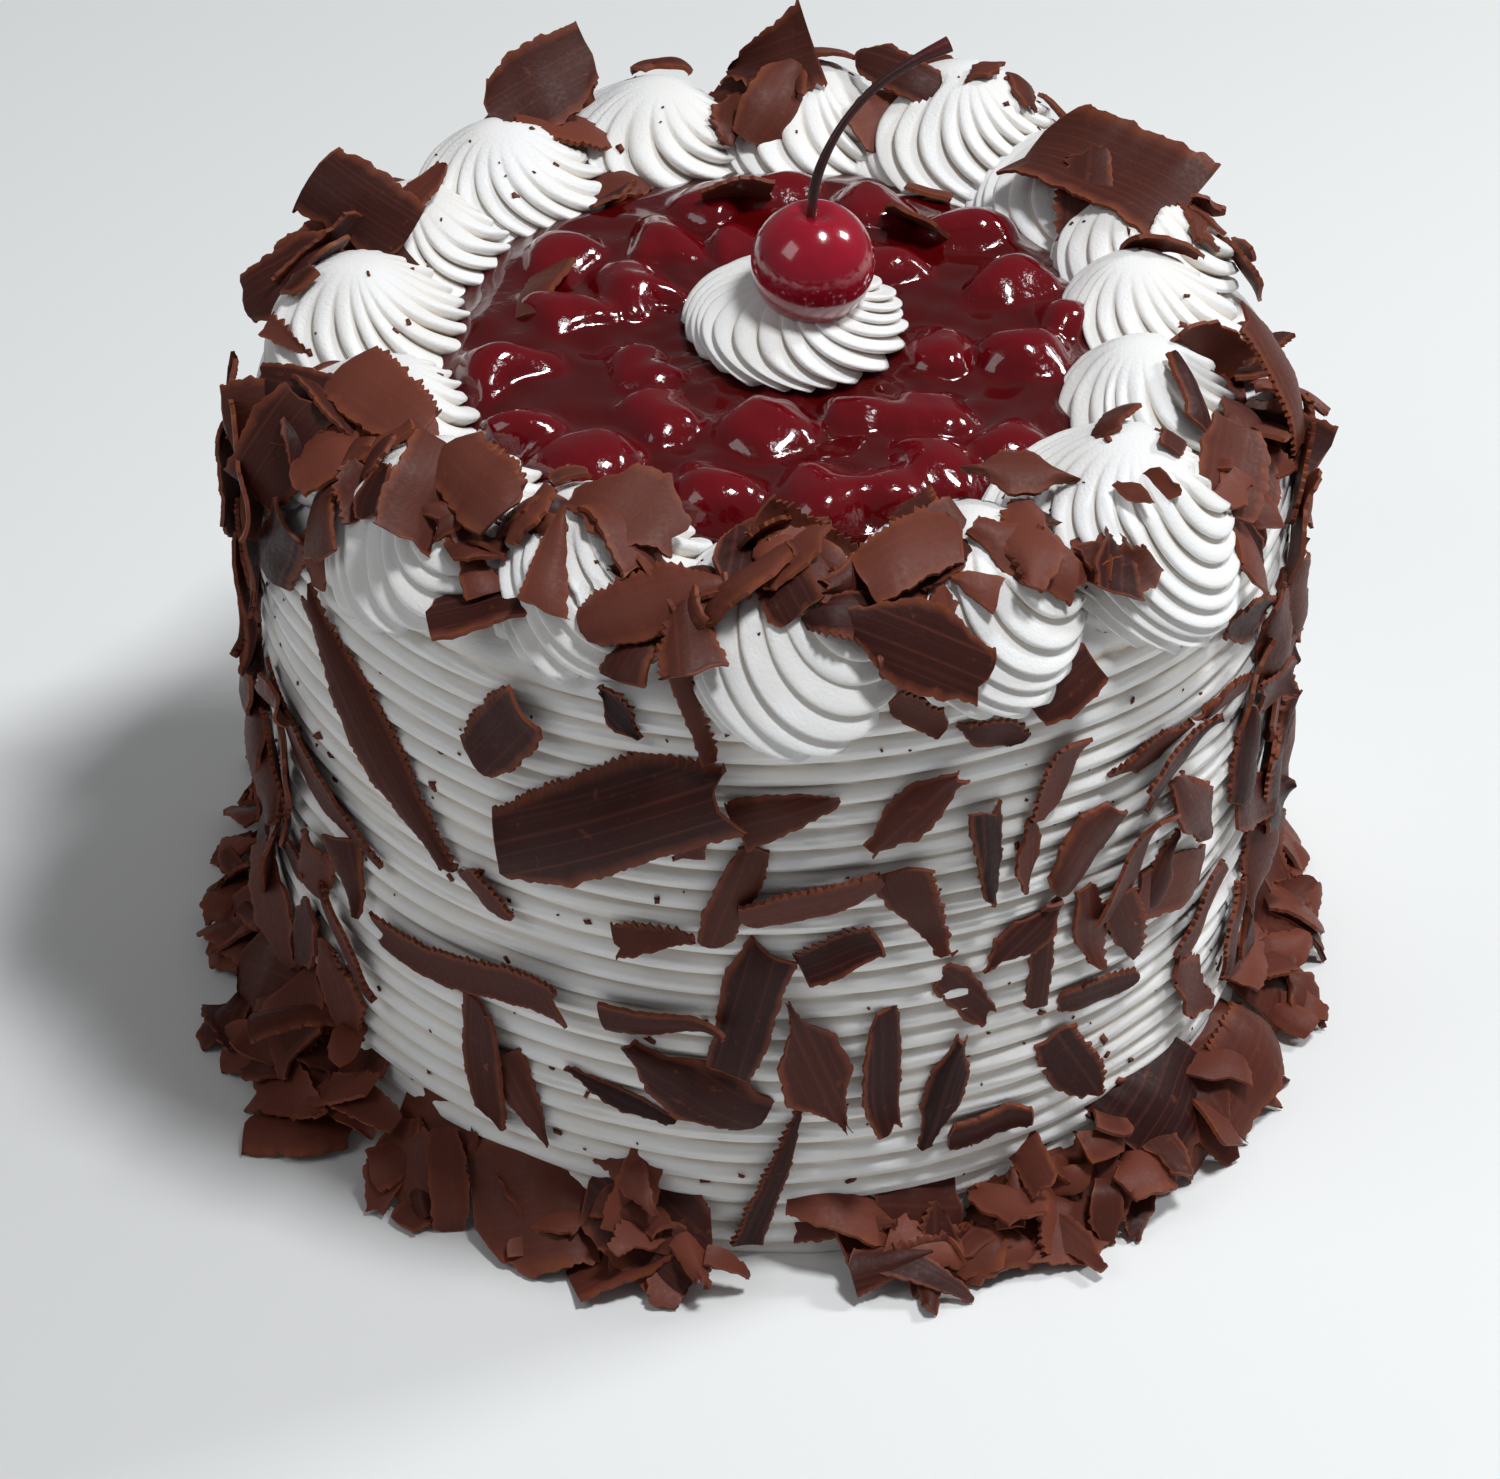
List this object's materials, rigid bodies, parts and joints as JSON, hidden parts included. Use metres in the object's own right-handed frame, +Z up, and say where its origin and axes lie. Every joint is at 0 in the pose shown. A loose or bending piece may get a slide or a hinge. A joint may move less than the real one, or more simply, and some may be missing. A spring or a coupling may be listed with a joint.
{
  "type": "birthday cake",
  "caption": "Round whipped cream cake with combed sides, a ring of piped rosettes, a cherry filling, a stemmed cherry on top and chocolate shavings.",
  "frame": {"origin": "centre of the cake's flat round base, on the surface that it stands on", "axes": "+Z up through the middle of the cake, -Y towards the side seen from the front, +X to the right"},
  "size_m": [0.2362, 0.2284, 0.2066],
  "materials": {
    "whipped_cream": "soft satin whipped cream, warm white",
    "cherry_gel": "wet glossy dark red cherry gel",
    "cherry_red": "glossy crimson cherry skin",
    "stem_brown": "dark red brown stem",
    "chocolate": "dull milk chocolate with broken edges"
  },
  "bodies": {
    "root": {"cake_body": "whipped_cream", "rosette_01": "whipped_cream", "rosette_02": "whipped_cream", "rosette_03": "whipped_cream", "rosette_04": "whipped_cream", "rosette_05": "whipped_cream", "rosette_06": "whipped_cream", "rosette_07": "whipped_cream", "rosette_08": "whipped_cream", "rosette_09": "whipped_cream", "rosette_10": "whipped_cream", "rosette_11": "whipped_cream", "rosette_12": "whipped_cream", "rosette_13": "whipped_cream", "rosette_14": "whipped_cream", "rosette_15": "whipped_cream", "rosette_16": "whipped_cream", "cherry_filling": "cherry_gel", "centre_rosette": "whipped_cream", "top_cherry": "cherry_red", "cherry_stem": "stem_brown", "shaving_broad": "chocolate", "shaving_rear_left": "chocolate", "shaving_rear_mid": "chocolate", "shaving_rear_right": "chocolate", "shaving_left_rear": "chocolate", "shaving_left_cluster": "chocolate", "shaving_left_front": "chocolate", "shaving_front_left": "chocolate", "shaving_front_step": "chocolate", "shaving_front_roll": "chocolate", "shaving_front_dark": "chocolate", "shaving_front_mid": "chocolate", "shaving_leaf_upper": "chocolate", "shaving_leaf_lower": "chocolate", "shaving_right_front": "chocolate", "shaving_right_upright": "chocolate"}
  },
  "joints": []
}
